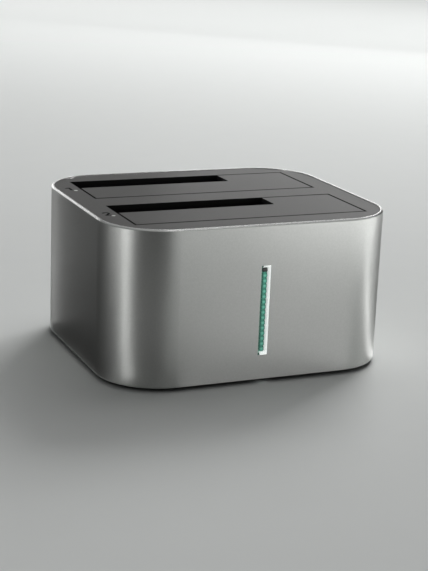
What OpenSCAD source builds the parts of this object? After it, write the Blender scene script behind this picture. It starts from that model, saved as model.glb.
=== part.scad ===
// Two-bay desktop dock for bare hard drives.
// Aluminium sleeve, moulded top cover with two sprung flaps, light bar in front, sockets at the back.
// Millimetres. Origin on the table under the middle of the body, +X right, +Y back, +Z up.

/* [Drive bays] */
// Length of a bay opening, left to right: a 101.6 mm drive with play
bay_l = 104; // [103:0.5:108]
// Depth of a bay opening, front to back: a 26.1 mm drive beside the folded flap
bay_d = 35; // [33:0.5:38]
// Bridge of cover between the two bay openings
bay_gap = 14.4; // [12:0.2:20]
// Height of the drive well, from its floor to the underside of the cover
bay_h = 45; // [42:0.5:60]
// Length of the open slot for a small drive
slot_l = 71.2; // [70.4:0.2:74]
// Depth of the open slot for a small drive
slot_d = 13.4; // [10:0.2:15]
// Wall of the drive wells
well_wall = 1.5; // [1.2:0.1:2]
// Floor of the drive wells
well_floor = 1.4; // [1.2:0.1:2]
// Room behind the rear edge of an opening for the flap's stop lip
lip_room = 1; // [0.9:0.1:1.4]

/* [Sleeve] */
// Cover and sleeve beside a bay, from the bay's end to the outside
side_margin = 11.5; // [11.3:0.1:16]
// Cover and sleeve before and behind the bays, to the outside
end_margin = 13.3; // [13:0.1:18]
// Outside radius of the four upright corners
corner_r = 26; // [18:0.5:30]
// Wall of the sleeve
sleeve_wall = 2.5; // [2.2:0.1:2.8]
// Wall left round the cover and the base plate
rim_wall = 1.2; // [1:0.1:1.6]
// Bright chamfer on the top rim
rim_chamfer = 0.7; // [0.3:0.05:0.9]

/* [Top cover and flaps] */
// Thickness of the cover
cover_t = 2.2; // [2.1:0.1:3]
// Depth of the cover's face below the rim
cover_drop = 0.3; // [0.1:0.05:0.6]
// Thickness of a flap
flap_t = 2; // [1.6:0.1:2.2]
// Seam round a flap
seam = 0.4; // [0.3:0.05:0.6]
// Radius of the hinge barrel under a flap's front edge
barrel_r = 1.5; // [1.45:0.05:1.8]
// Radius of the steel hinge pin
hinge_pin_r = 0.8; // [0.6:0.05:0.85]
// Length of the notch in the barrel that holds the spring
spring_notch = 9; // [8:0.5:14]
// Length of the stop lip along the flap
lip_l = 24; // [10:1:30]
// Reach of the stop lip under the cover
lip_reach = 0.6; // [0.4:0.05:0.7]
// Thickness of the stop lip
lip_t = 1; // [0.8:0.1:1.4]

/* [Flap springs] */
// Diameter of the spring wire
wire_d = 0.5; // [0.3:0.05:0.5]
// Rise of the coil for each turn
spring_pitch = 1; // [0.95:0.05:1.2]
// Whole turns of the coil
spring_turns = 5; // [3:1:6]
// Length of each spring leg
spring_leg = 8; // [5:0.5:12]

/* [Light bar] */
// Width of the slot in the front wall
bar_slot_w = 2.2; // [1.6:0.1:4]
// Height of the slot in the front wall
bar_slot_h = 36; // [30:0.5:38]
// Height of the middle of the slot above the table
bar_z = 31.4; // [30:0.1:34]
// Chamfer round the slot
bar_chamfer = 1; // [0.5:0.05:1.5]
// Beads on the lens
bead_count = 16; // [9:1:20]
// Depth of the bead tops below the front face
bead_recess = 0.9; // [0.5:0.05:1.2]
// Lip of the lens flange past the slot on each side
lens_lip = 1.2; // [0.8:0.1:2]
// Thickness of the lens flange
lens_flange_t = 1; // [0.8:0.1:1.5]
// Lights behind the lens
led_count = 8; // [4:1:10]
// Width of the light board
led_board_w = 15; // [14:0.5:20]
// Thickness of the light board
led_board_t = 1.2; // [0.8:0.1:1.6]

/* [Bay lights] */
// Radius of a light pipe
pipe_r = 0.8; // [0.6:0.05:1]
// Radius of the collar that stops a pipe under the cover
pipe_collar_r = 1.4; // [1.2:0.1:1.45]

/* [Base and feet] */
// Clear height under the body
foot_gap = 2; // [1.2:0.1:5]
// Thickness of the base plate
base_t = 2; // [1.8:0.1:3]
// Radius of a foot
foot_r = 6; // [4:0.5:8]
// Depth of the pocket that a foot sits in
foot_pocket = 0.8; // [0.4:0.1:1]
// Distance from the body's side to a foot's middle
foot_inset_x = 18.5; // [17:0.5:26]
// Distance from the body's front or back to a foot's middle
foot_inset_y = 17.5; // [17:0.5:26]
// Radius of the posts that tie the frame to the base
post_r = 3; // [2.6:0.1:3.2]
// Distance of the posts from the middle, front to back
post_y = 12; // [9:0.5:14]
// Height of the posts above the floor of the wells
post_rise = 10; // [6:1:20]

/* [Main board] */
// Height of the board's standoffs
standoff_h = 1.6; // [1.4:0.1:3]
// Radius of the board's standoffs
standoff_r = 2.6; // [2.2:0.1:3]
// Thickness of the board
board_t = 1.6; // [1:0.1:2]
// Length of a drive receptacle
sata_l = 44; // [42:0.5:46]
// Depth of a drive receptacle
sata_d = 6.2; // [5.8:0.1:7]
// Reach of a drive receptacle above the floor of the well
sata_rise = 2.6; // [1:0.1:4]
// Middle of a receptacle from the left end of its bay
sata_from_left = 28.5; // [26:0.5:31]
// Middle of a receptacle from the rear edge of its bay
sata_from_rear = 5.5; // [5:0.1:7]
// Spacing of the receptacle's contacts
contact_pitch = 1.27; // [1.2:0.01:1.3]

/* [Sockets at the back] */
// Height of the sockets above the board
port_h = 11; // [10.6:0.1:13]
// Half width of the window for the sockets
window_half_w = 36; // [35.5:0.5:40]
// Depth of the socket panel below the sleeve's rear face
panel_inset = 1.9; // [1.8:0.1:2.1]
// Middle of the data socket, left to right
usb_x = 8; // [6:0.5:9]
// Middle of the power inlet from the right edge of the window
inlet_inset = 11; // [8:0.5:14]
// Middle of the copy button, left to right
copy_x = -9; // [-11:0.5:-8]
// Middle of the power switch from the left edge of the window
rocker_inset = 11; // [10:0.5:14]
// Radius of the power inlet's mouth
inlet_r = 3.1; // [2.9:0.05:3.4]
// Radius of the power inlet's pin
inlet_pin_r = 1.05; // [0.9:0.05:1.3]
// Length of the power inlet's pin
inlet_pin_l = 9; // [7:0.5:9.4]
// Radius of the copy button
copy_r = 2.5; // [2:0.1:3]
// Travel of the copy button
copy_travel = 0.5; // [0.3:0.05:0.6]
// Tilt of the rocker to each side of its middle
rocker_tilt = 10; // [7:0.5:11]

/* [Screws] */
// Radius of the case screws
screw_r = 1.2; // [1:0.05:1.3]
// Radius of the case screws' heads
head_r = 2.2; // [1.9:0.05:2.3]
// Height of the case screws' heads
head_h = 1.5; // [1.2:0.1:1.6]
// Radius of the light board's small screws
small_screw_r = 0.8; // [0.7:0.05:0.9]
// Radius of the small screws' heads
small_head_r = 1.5; // [1.3:0.1:1.7]
// Height of the small screws' heads
small_head_h = 0.8; // [0.6:0.1:0.9]

/* [Hidden] */
$fn = 64;
// Clearances: seated pieces, pieces in holes, threads in pilot holes, running hinges, overlapping joins
seat = 0.1;
play = 0.3;
thread_play = 0.03;
pin_play = 0.02;
run_play = 0.05;
weld = 0.4;
through = 1;
// Room between a socket's top and the floor of the wells, and between pipes and the wells
floor_room = 0.4;
pipe_room = 0.7;

// Overall size
body_w = bay_l + 2 * side_margin;
body_d = 2 * bay_d + bay_gap + 2 * end_margin;

// Heights, from the table up
base_z = foot_gap;
ledge_low_z = base_z + base_t;
board_z = ledge_low_z + standoff_h;
board_top = board_z + board_t;
port_top = board_top + port_h;
floor_z = port_top + floor_room;
floor_top = floor_z + well_floor;
cover_z = floor_top + bay_h;
cover_top = cover_z + cover_t;
body_h = cover_top + cover_drop;

// Sides of the inner space
in_x = body_w / 2 - sleeve_wall;
in_y = body_d / 2 - sleeve_wall;
in_r = corner_r - sleeve_wall;

// Bays: the middle of each, front to back, and the outside of the wells
bay_mid = (bay_d + bay_gap) / 2;
bay_half_l = bay_l / 2;
well_out_x = bay_half_l + well_wall;
well_out_front = -bay_mid - bay_d / 2 - well_wall;
well_out_rear = bay_mid + bay_d / 2 + lip_room + well_wall;

// Flap hinge, measured from the front edge of the opening and from the table
hinge_in = seam + barrel_r;
hinge_z = cover_top - flap_t - seat - barrel_r;
flap_z = cover_top - flap_t;

// Posts, screws and ears that tie the pieces together
post_x = (well_out_x + in_x) / 2;
boss_wall = 0.8;
boss_r = head_r + boss_wall;
pilot_depth = 10;
ear_t = 2;
ear_boss_h = 6;
ear_z = cover_z - ear_boss_h - ear_t;
ear_x = 30;
ear_front = (well_out_front - in_y) / 2;
ear_rear = (well_out_rear + in_y) / 2;
counterbore = head_h + 2 * seat;
standoff_gap = 2.4;
board_screw_x = post_x - post_r - standoff_r - standoff_gap;
board_screw_in_front = 9;
board_screw_in_rear = 3.5;
board_screw_front = well_out_front + board_screw_in_front;
board_screw_rear = well_out_rear - board_screw_in_rear;
board_head_h = 1.2;
board_screw_low = base_z + foot_pocket + seat;

// Light bar stack, from the front wall inwards
lens_back = -in_y + seat + lens_flange_t;
led_h = 0.8;
led_w = 2;
led_gap = 0.9;
led_face = lens_back + led_gap + led_h;
led_back = led_face + led_board_t;
led_edge = 0.6;
led_screw_x = led_board_w / 2 - small_head_r - led_edge;
led_screw_z = bar_z + bar_slot_h / 2 + lens_lip + 2 * small_head_r;
led_boss_r = small_screw_r + boss_wall;
led_screw_bite = 4;
led_screw_l = led_board_t + led_screw_bite;
led_board_low = board_top + led_edge;
led_board_high = led_screw_z + small_head_r + led_edge;
header_w = 9;
header_h = 5;
header_d = 3.4;

// Bay light pipes
pipe_x = -(well_out_x + pipe_room + pipe_r);
pipe_collar_h = 1;
bay_led_h = 0.8;
bay_led_w = 1.6;

// Board outline
board_edge = 0.6;
board_front = led_back + play;

// Drive receptacle: lengths of its two slots, the bridge between them, their width, depth and key
power_slot_l = 20.7;
data_slot_l = 10.3;
slot_bridge = 2.4;
slot_w = 2.5;
slot_deep = 5;
slot_key = 1.2;
power_start = -(power_slot_l + data_slot_l + slot_bridge) / 2;
data_start = power_start + power_slot_l + slot_bridge;
power_pins = 15;
data_pins = 7;
contact_w = 0.7;
contact_t = 0.4;
contact_drop = 0.8;
socket_top = floor_top + sata_rise;

// Socket panel, from its outer face inwards
panel_face = body_d / 2 - panel_inset;
panel_t = 1.8;
panel_back = in_y - panel_t;
panel_flange = 2;
port_face = panel_face + play;
board_rear = panel_back - play;
window_sill = 1;
window_head = 1.3;
window_low = ledge_low_z + window_sill;
window_high = port_top + window_head;
port_mid = board_top + port_h / 2;
inlet_x = window_half_w - inlet_inset;
rocker_x = rocker_inset - window_half_w;

// Data socket outline: half widths and heights of the square mouth and of the block on top
usb_wide = 4.7;
usb_narrow = 3.3;
usb_shoulder = 6.4;
usb_neck = 7.9;
usb_wall = 0.4;
usb_depth = 16;
usb_back = 2;
usb_block = 1.5;
usb_tongue_in = 2.5;
// Data socket tongues: half width, low and high side
usb_lower = [2.8, 2.6, 5.7];
usb_upper = [2.3, 8.5, 9.7];

// Power inlet: its block, the height of its mouth over the board, its pin's tip and root
inlet_half_w = 4.5;
inlet_depth = 14;
inlet_rise = 6;
inlet_mid = board_top + inlet_rise;
inlet_tip_in = 1;
inlet_bore = inlet_pin_l + inlet_tip_in;
inlet_root_step = 0.5;
inlet_root_r = inlet_pin_r + inlet_root_step;
inlet_root = 1.8;

// Parts on the board: the chips' corner of the board and the row of parts before the power inlet
chip_x = 24;
chip_y = -8;
part_gap = 2;
chip_size = [12, 12, 1.4];
memory_size = [5.2, 6.2, 1.6];
crystal_size = [4.6, 8, 3.5];
coil_size = [8, 8, 4.5];
can_r = 3.1;
can_h = 8;
can_gap = 0.8;
can_pitch = 2 * can_r + can_gap;
inlet_row = port_face - inlet_depth - 2 * can_r;

// Copy button
copy_flange_lip = 0.9;
copy_flange_r = copy_r + copy_flange_lip;
copy_flange_t = 0.8;
copy_proud = 1.2;
copy_body_w = 6.2;
copy_body_d = 3.6;
copy_body_h = port_h / 2 + copy_body_w / 2;
copy_plunger_r = 1.2;
copy_flange_back = panel_back - seat - copy_flange_t;
copy_plunger_l = 1.6;
copy_body_face = copy_flange_back - copy_plunger_l + copy_travel;

// Rocker: half length, height of its middle over the pivot, half thickness, cavity
rocker_half = 5.4;
rocker_crown = 1.6;
rocker_under = 1.8;
rocker_foot_half = 4.6;
rocker_tip = rocker_crown + rocker_half * tan(rocker_tilt);
rocker_half_t = 3.3;
rocker_pin_r = 0.9;
rocker_pin_l = 1.2;
rocker_wall = 1.4;
rocker_y = body_d / 2 - play - rocker_half * sin(rocker_tilt) - rocker_tip * cos(rocker_tilt);
cavity_half = rocker_half * cos(rocker_tilt) + rocker_tip * sin(rocker_tilt) + play;
cavity_half_t = rocker_half_t + play;
cavity_back = rocker_y - rocker_under - rocker_foot_half * sin(rocker_tilt) - play;
rocker_terminals = 4;
rocker_body_back = cavity_back - rocker_terminals;
bezel_t = 0.7;
bezel_lip = 0.9;

// Colours
aluminium = [0.62, 0.63, 0.64];
grey_plastic = [0.33, 0.34, 0.35];
dark_plastic = [0.16, 0.16, 0.17];
black_plastic = [0.06, 0.06, 0.06];
steel = [0.75, 0.76, 0.77];
board_green = [0.05, 0.28, 0.15];
gold = [0.83, 0.66, 0.28];
lamp_green = [0.35, 0.75, 0.62];
clear_plastic = [0.85, 0.9, 0.92];
rubber_black = [0.09, 0.09, 0.09];
can_blue = [0.2, 0.24, 0.34];
tongue_blue = [0.1, 0.25, 0.6];
lamp_resin = [0.9, 0.88, 0.7];

// Shared shapes

// Upright prism with four round corners, standing on z
module round_prism(w, d, r, z, h) {
    translate([0, 0, z])
    linear_extrude(h)
    union() {
        square([w, d - 2 * r], center = true);
        square([w - 2 * r, d], center = true);
        for (x = [-1, 1], y = [-1, 1])
            translate([x * (w / 2 - r), y * (d / 2 - r)]) circle(r);
    }
}

// Cap of a round prism that draws in by c on all sides as it rises by c
module chamfer_cap(w, d, r, z, c) {
    translate([0, 0, z]) {
        rotate([90, 0, 0])
            linear_extrude(d - 2 * r, center = true)
            polygon([[-w / 2, 0], [w / 2, 0], [w / 2 - c, c], [c - w / 2, c]]);
        rotate([90, 0, 90])
            linear_extrude(w - 2 * r, center = true)
            polygon([[-d / 2, 0], [d / 2, 0], [d / 2 - c, c], [c - d / 2, c]]);
        for (x = [-1, 1], y = [-1, 1])
            translate([x * (w / 2 - r), y * (d / 2 - r), 0]) cylinder(c, r, r - c);
    }
}

// Box from its low corner to its high corner
module span(low, high) {
    translate(low) cube(high - low);
}

// Round bar along X, centred on x = 0
module bar_x(r, l) {
    rotate([0, 90, 0]) cylinder(l, r = r, center = true);
}

// Round bar along +Y from y = 0
module bar_y(r, l) {
    rotate([-90, 0, 0]) cylinder(l, r = r);
}

// Children at the posts that tie the base to the frame
module at_posts() {
    for (x = [-1, 1], y = [-1, 1])
        translate([x * post_x, y * post_y, 0]) children();
}

// Children at the board's screws
module at_board_screws() {
    for (x = [-1, 1], y = [board_screw_front, board_screw_rear])
        translate([x * board_screw_x, y, 0]) children();
}

// Children at the cover's screws
module at_ears() {
    for (x = [-1, 1], y = [ear_front, ear_rear])
        translate([x * ear_x, y, 0]) children();
}

// Hole along Z, right through a plate that stands on z and is t thick
module hole_up(x, y, z, t, r) {
    translate([x, y, z - through]) cylinder(t + 2 * through, r = r);
}

// Pilot hole for a case screw that enters at z and goes up by depth
module pilot_up(z, depth) {
    translate([0, 0, z - through]) cylinder(depth + through, r = screw_r + thread_play);
}

// Pan screw pointing up, with its head's top face at z = 0 and its shank above
module screw_up(r, l, hr, hh) {
    translate([0, 0, -hh]) cylinder(hh, r = hr);
    cylinder(l, r = r);
}

// Case

module body_sleeve() {
    color(aluminium)
    difference() {
        union() {
            round_prism(body_w, body_d, corner_r, base_z, body_h - rim_chamfer - base_z);
            chamfer_cap(body_w, body_d, corner_r, body_h - rim_chamfer, rim_chamfer);
        }
        round_prism(2 * in_x, 2 * in_y, in_r, base_z - through, body_h + 2 * through);
        rim_cut(cover_z, body_h + through);
        rim_cut(base_z - through, ledge_low_z);
        light_slot();
        span([-window_half_w, in_y - through, window_low],
            [window_half_w, body_d / 2 + through, window_high]);
    }
}

// Rebate that the cover or the base plate sits in
module rim_cut(low, high) {
    round_prism(body_w - 2 * rim_wall, body_d - 2 * rim_wall, corner_r - rim_wall, low, high - low);
}

// Slot of the light bar with its chamfer on all four sides
module light_slot() {
    w = bar_slot_w / 2;
    h = bar_slot_h / 2;
    c = bar_chamfer + through;
    face = -body_d / 2;
    translate([0, 0, bar_z]) {
        span([-w, face - through, -h], [w, -in_y + through, h]);
        intersection() {
            linear_extrude(2 * (h + c), center = true)
                polygon([[-w, face + bar_chamfer], [w, face + bar_chamfer], [w + c, face - through],
                    [-w - c, face - through]]);
            rotate([0, 90, 0])
                linear_extrude(2 * (w + c), center = true)
                polygon([[-h, face + bar_chamfer], [h, face + bar_chamfer], [h + c, face - through],
                    [-h - c, face - through]]);
        }
    }
}

module top_cover() {
    edge = rim_wall + seat;
    color(grey_plastic)
    difference() {
        union() {
            round_prism(body_w - 2 * edge, body_d - 2 * edge, corner_r - edge, cover_z, cover_t);
            at_ears() translate([0, 0, cover_z - ear_boss_h]) cylinder(ear_boss_h + weld, r = boss_r);
        }
        for (y = [-bay_mid, bay_mid]) {
            span([-bay_half_l, y - bay_d / 2, cover_z - through],
                [bay_half_l, y + bay_d / 2, body_h + through]);
            hole_up(pipe_x, y, cover_z, cover_t, pipe_r + seat);
        }
        at_ears() pilot_up(cover_z - ear_boss_h, ear_boss_h);
    }
}

module base_plate() {
    edge = rim_wall + seat;
    color(dark_plastic)
    difference() {
        union() {
            round_prism(body_w - 2 * edge, body_d - 2 * edge, corner_r - edge, base_z, base_t);
            translate([0, 0, ledge_low_z - weld]) {
                at_posts() cylinder(standoff_h + weld, r = post_r);
                at_board_screws() cylinder(standoff_h + weld, r = standoff_r);
            }
        }
        at_posts() {
            translate([0, 0, base_z - through]) cylinder(counterbore + through, r = head_r + seat);
            cylinder(board_z + through, r = screw_r + seat);
        }
        at_board_screws() translate([0, 0, board_screw_low]) cylinder(board_z, r = screw_r + thread_play);
        at_feet() cylinder(base_z + foot_pocket, r = foot_r + seat);
    }
}

// Children at the four feet
module at_feet() {
    for (x = [-1, 1], y = [-1, 1])
        foot_place(x, y) children();
}

module foot_place(x, y) {
    translate([x * (body_w / 2 - foot_inset_x), y * (body_d / 2 - foot_inset_y), 0]) children();
}

module foot(x, y) {
    color(rubber_black)
    foot_place(x, y) cylinder(base_z + foot_pocket, r = foot_r);
}

// Wells, posts and ears in one moulding

module drive_frame() {
    color(black_plastic)
    difference() {
        union() {
            span([-well_out_x, well_out_front, floor_z], [well_out_x, well_out_rear, floor_top]);
            for (y = [-bay_mid, bay_mid])
                well_walls(y);
            at_posts() translate([0, 0, board_z]) cylinder(floor_top + post_rise - board_z, r = post_r);
            for (x = [-1, 1], y = [-1, 1])
                post_web(x, y);
            frame_ears();
            led_bosses();
        }
        for (y = [-bay_mid, bay_mid]) {
            sata_opening(y);
            translate([0, y - bay_d / 2 + hinge_in, hinge_z]) bar_x(hinge_pin_r + pin_play, 2 * in_x);
        }
        at_posts() pilot_up(board_z, pilot_depth);
        at_ears() hole_up(0, 0, ear_z, ear_t, screw_r + seat);
        at_led_screws() bar_y(small_screw_r + thread_play, well_out_front - led_back);
    }
}

// Four walls of one well, from the floor to the cover
module well_walls(y) {
    difference() {
        span([-well_out_x, y - bay_d / 2 - well_wall, floor_z],
            [well_out_x, y + bay_d / 2 + lip_room + well_wall, cover_z]);
        span([-bay_half_l, y - bay_d / 2, floor_z - through],
            [bay_half_l, y + bay_d / 2 + lip_room, cover_z + through]);
    }
}

// Web from a well's end wall to a post
module post_web(x, y) {
    low = min(x * (well_out_x - weld), x * post_x);
    high = max(x * (well_out_x - weld), x * post_x);
    span([low, y * post_y - well_wall / 2, floor_z],
        [high, y * post_y + well_wall / 2, floor_top + post_rise]);
}

// Ears under the cover's bosses
module frame_ears() {
    at_ears() translate([0, 0, ear_z]) cylinder(ear_t, r = boss_r);
    for (x = [-ear_x, ear_x], y = [[ear_front, well_out_front + weld], [well_out_rear - weld, ear_rear]])
        span([x - boss_r, y[0], ear_z], [x + boss_r, y[1], ear_z + ear_t]);
}

// Children at the light board's screws, at the back of that board
module at_led_screws() {
    for (x = [-1, 1])
        translate([x * led_screw_x, led_back, led_screw_z]) children();
}

// Bosses that carry the light board
module led_bosses() {
    at_led_screws() bar_y(led_boss_r, well_out_front + weld - led_back);
}

// Hole in the floor round a receptacle
module sata_opening(y) {
    translate([sata_x(), sata_y(y), floor_z - through])
    linear_extrude(well_floor + 2 * through)
    square([sata_l + 2 * play, sata_d + 2 * play], center = true);
}

// Flaps

module flap(y) {
    half = bay_half_l - seam;
    front = y - bay_d / 2 + seam;
    rear = y + bay_d / 2 - seam;
    color(grey_plastic)
    difference() {
        union() {
            difference() {
                span([-half, front, flap_z], [half, rear, cover_top]);
                span([-half - through, y + bay_d / 2 - slot_d, flap_z - through],
                    [slot_l - bay_half_l, rear + through, cover_top + through]);
            }
            for (x = [-1, 1])
                barrel(x, y, half);
            stop_lip(y, half, rear);
        }
        translate([0, y - bay_d / 2 + hinge_in, hinge_z]) bar_x(hinge_pin_r + run_play, bay_l);
    }
}

// Half of the hinge barrel, with the web that joins it to the plate
module barrel(x, y, half) {
    l = half - spring_notch / 2;
    translate([x * (spring_notch + l) / 2, y - bay_d / 2 + hinge_in, hinge_z]) {
        bar_x(barrel_r, l);
        translate([-l / 2, -barrel_r, 0]) cube([l, 2 * barrel_r, flap_z + weld - hinge_z]);
    }
}

// Lip under the rear edge that meets the cover when the flap is shut
module stop_lip(y, half, rear) {
    start = half - lip_l;
    lip_top = cover_z - seat;
    root = 3 * lip_t;
    span([start, rear - root, lip_top - lip_t], [half, y + bay_d / 2 + lip_reach, lip_top]);
    span([start, rear - root, lip_top - lip_t], [half, rear, flap_z + weld]);
}

module hinge_pin(y) {
    color(steel)
    translate([0, y - bay_d / 2 + hinge_in, hinge_z]) bar_x(hinge_pin_r, 2 * well_out_x - 2 * seat);
}

// Torsion spring round the pin: one leg under the flap, the coil, one leg down the well's front wall
module flap_spring(y) {
    r = hinge_pin_r + seat + wire_d / 2;
    sides = 6;
    steps = 12;
    start = 90;
    turn = 360 * spring_turns + 90;
    count = spring_turns * steps + steps / 4;
    coil_x = function(a) spring_pitch * (a / 360 - spring_turns / 2);
    point = function(a) [coil_x(a), r * cos(start + a), r * sin(start + a)];
    centres = concat(
        [[coil_x(0), spring_leg, r]],
        [for (i = [0:count]) point(turn * i / count)],
        [[coil_x(turn), -r, -spring_leg]]);
    angles = concat([start], [for (i = [0:count]) start + turn * i / count], [start + turn]);
    rings = len(centres);
    points = [for (i = [0:rings - 1], k = [0:sides - 1])
        centres[i] + wire_d / 2 * (cos(360 * k / sides) * [0, cos(angles[i]), sin(angles[i])]
            + sin(360 * k / sides) * [1, 0, 0])];
    side_faces = [for (i = [0:rings - 2], k = [0:sides - 1], half = [0, 1])
        let (a = i * sides + k, b = i * sides + (k + 1) % sides)
        half == 0 ? [a, a + sides, b] : [b, a + sides, b + sides]];
    last = (rings - 1) * sides;
    end_faces = [for (k = [1:sides - 2], end = [0, 1])
        end == 0 ? [0, k, k + 1] : [last, last + k + 1, last + k]];
    color(steel)
    translate([0, y - bay_d / 2 + hinge_in, hinge_z])
    polyhedron(points, concat(side_faces, end_faces));
}

// Main board and what stands on it

module main_board() {
    edge = sleeve_wall + board_edge;
    color(board_green)
    difference() {
        intersection() {
            round_prism(body_w - 2 * edge, body_d - 2 * edge, corner_r - edge, board_z, board_t);
            span([-in_x, board_front, board_z - through], [in_x, board_rear, board_top + through]);
        }
        at_posts() hole_up(0, 0, board_z, board_t, post_r + play);
        at_board_screws() hole_up(0, 0, board_z, board_t, screw_r + seat);
    }
}

function sata_x() = sata_from_left - bay_half_l;
function sata_y(y) = y + bay_d / 2 - sata_from_rear;

module sata_socket(y) {
    color(black_plastic)
    translate([sata_x(), sata_y(y), 0])
    difference() {
        span([-sata_l / 2, -sata_d / 2, board_top], [sata_l / 2, sata_d / 2, socket_top]);
        socket_slot(power_start, power_slot_l);
        socket_slot(data_start, data_slot_l);
    }
}

// One L-shaped slot
module socket_slot(x, l) {
    low = socket_top - slot_deep;
    high = socket_top + through;
    span([x, -slot_w / 2, low], [x + l, slot_w / 2, high]);
    span([x, -slot_w / 2 - slot_key, low], [x + slot_key, slot_w / 2, high]);
}

module sata_contacts(y) {
    color(gold)
    translate([sata_x(), sata_y(y), 0]) {
        contact_row(power_start + power_slot_l / 2, power_pins);
        contact_row(data_start + data_slot_l / 2, data_pins);
    }
}

// Row of spring contacts along the rear wall of a slot
module contact_row(x, pins) {
    for (i = [0:pins - 1]) {
        mid = x + (i - (pins - 1) / 2) * contact_pitch;
        span([mid - contact_w / 2, slot_w / 2 - contact_t, socket_top - slot_deep],
            [mid + contact_w / 2, slot_w / 2, socket_top - contact_drop]);
    }
}

// Block on the board, from its middle and its size
module board_block(x, y, size) {
    translate([x - size[0] / 2, y - size[1] / 2, board_top]) cube(size);
}

module bridge_chip() {
    color(dark_plastic) board_block(chip_x, chip_y, chip_size);
}

module memory_chip() {
    y = chip_y - chip_size[1] / 2 - part_gap - memory_size[1] / 2;
    color(dark_plastic) board_block(chip_x, y, memory_size);
}

module crystal() {
    x = chip_x + chip_size[0] / 2 + part_gap + crystal_size[0] / 2;
    color(steel) board_block(x, chip_y, crystal_size);
}

module power_coil() {
    x = inlet_x + can_pitch + can_r + part_gap + coil_size[0] / 2;
    color(dark_plastic) board_block(x, inlet_row, coil_size);
}

module capacitors() {
    color(can_blue)
    for (i = [-1:1])
        translate([inlet_x + i * can_pitch, inlet_row, board_top]) cylinder(can_h, r = can_r);
}

module bay_leds() {
    color(lamp_green)
    for (y = [-bay_mid, bay_mid])
        board_block(pipe_x, y, [bay_led_w, bay_led_w, bay_led_h]);
}

module light_pipe(y) {
    low = board_top + bay_led_h + seat;
    color(clear_plastic)
    translate([pipe_x, y, 0]) {
        translate([0, 0, low]) cylinder(cover_top - low, r = pipe_r);
        translate([0, 0, cover_z - seat - pipe_collar_h]) cylinder(pipe_collar_h, r = pipe_collar_r);
    }
}

// Light bar

module light_bar_lens() {
    w = bar_slot_w / 2 - seat;
    h = bar_slot_h / 2 - seat;
    top = -body_d / 2 + bead_recess;
    bead_r = (bar_slot_h - 2 * seat) / bead_count / 2;
    color(lamp_green)
    translate([0, 0, bar_z]) {
        span([-w - lens_lip, -in_y + seat, -h - lens_lip], [w + lens_lip, lens_back, h + lens_lip]);
        span([-w, top + bead_r / 2, -h], [w, lens_back - lens_flange_t / 2, h]);
        for (i = [0:bead_count - 1])
            translate([0, top + bead_r, bead_r + 2 * i * bead_r - h]) bar_x(bead_r, 2 * w);
    }
}

module led_board() {
    color(board_green)
    difference() {
        span([-led_board_w / 2, led_face, led_board_low], [led_board_w / 2, led_back, led_board_high]);
        at_led_screws()
            translate([0, -led_board_t - through, 0])
            bar_y(small_screw_r + seat, led_board_t + 2 * through);
    }
}

module light_bar_leds() {
    color(lamp_resin)
    for (i = [0:led_count - 1]) {
        z = bar_z + (i - (led_count - 1) / 2) * bar_slot_h / led_count;
        span([-led_w / 2, led_face - led_h, z - led_w / 2], [led_w / 2, led_face, z + led_w / 2]);
    }
}

module led_header() {
    color(black_plastic)
    span([-header_w / 2, led_back, board_top], [header_w / 2, led_back + header_d, board_top + header_h]);
}

// Sockets, switch and button at the back

module rear_panel() {
    color(dark_plastic)
    difference() {
        union() {
            span([-window_half_w + seat, panel_back, window_low + seat],
                [window_half_w - seat, panel_face, window_high - seat]);
            intersection() {
                span([-window_half_w - panel_flange, panel_back, window_low + seat],
                    [window_half_w + panel_flange, in_y - seat, window_high - seat]);
                round_prism(2 * in_x - 2 * seat, 2 * in_y - 2 * seat, in_r - seat, window_low, window_high);
            }
        }
        translate([usb_x, panel_back - through, board_top])
            usb_prism(-play, panel_face - panel_back + 2 * through);
        span([inlet_x - inlet_half_w - play, panel_back - through, board_top - play],
            [inlet_x + inlet_half_w + play, panel_face + through, port_top + play]);
        translate([copy_x, panel_back - through, port_mid])
            bar_y(copy_r + play, panel_face - panel_back + 2 * through);
        switch_box(cavity_half + rocker_wall + seat, cavity_half_t + rocker_wall + seat,
            panel_back - through, panel_face + through);
    }
}

// Data socket outline drawn in by e on all sides, as an upright plate of depth l along +Y
module usb_prism(e, l) {
    half = [[usb_wide - e, e], [usb_wide - e, usb_shoulder], [usb_narrow - e, usb_neck],
        [usb_narrow - e, port_h - e]];
    left = [for (i = [3:-1:0]) [-half[i][0], half[i][1]]];
    translate([0, l, 0])
    rotate([90, 0, 0])
    linear_extrude(l)
    polygon(concat(half, left));
}

module usb_shell() {
    color(steel)
    translate([usb_x, port_face - usb_depth, board_top])
    difference() {
        usb_prism(0, usb_depth);
        translate([0, usb_back, 0]) usb_prism(usb_wall, usb_depth);
    }
}

module usb_tongue() {
    tongue_l = usb_depth - usb_back - usb_tongue_in;
    color(tongue_blue)
    translate([usb_x, port_face - usb_depth + usb_back, board_top]) {
        usb_prism(usb_wall + seat, usb_block);
        for (t = [usb_lower, usb_upper])
            span([-t[0], 0, t[1]], [t[0], tongue_l, t[2]]);
    }
}

module power_inlet() {
    back = port_face - inlet_depth;
    color(black_plastic)
    difference() {
        span([inlet_x - inlet_half_w, back, board_top], [inlet_x + inlet_half_w, port_face, port_top]);
        translate([inlet_x, port_face - inlet_bore, inlet_mid]) bar_y(inlet_r, inlet_bore + through);
        translate([inlet_x, port_face - inlet_bore - inlet_root, inlet_mid])
            bar_y(inlet_root_r + pin_play, inlet_root + through);
    }
}

module power_inlet_pin() {
    color(steel)
    translate([inlet_x, port_face - inlet_bore, inlet_mid]) {
        bar_y(inlet_pin_r, inlet_pin_l);
        translate([0, -inlet_root, 0]) bar_y(inlet_root_r, inlet_root);
    }
}

// Upright box round the middle of the power switch
module switch_box(half_w, half_h, back, front) {
    span([rocker_x - half_w, back, port_mid - half_h], [rocker_x + half_w, front, port_mid + half_h]);
}

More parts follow.
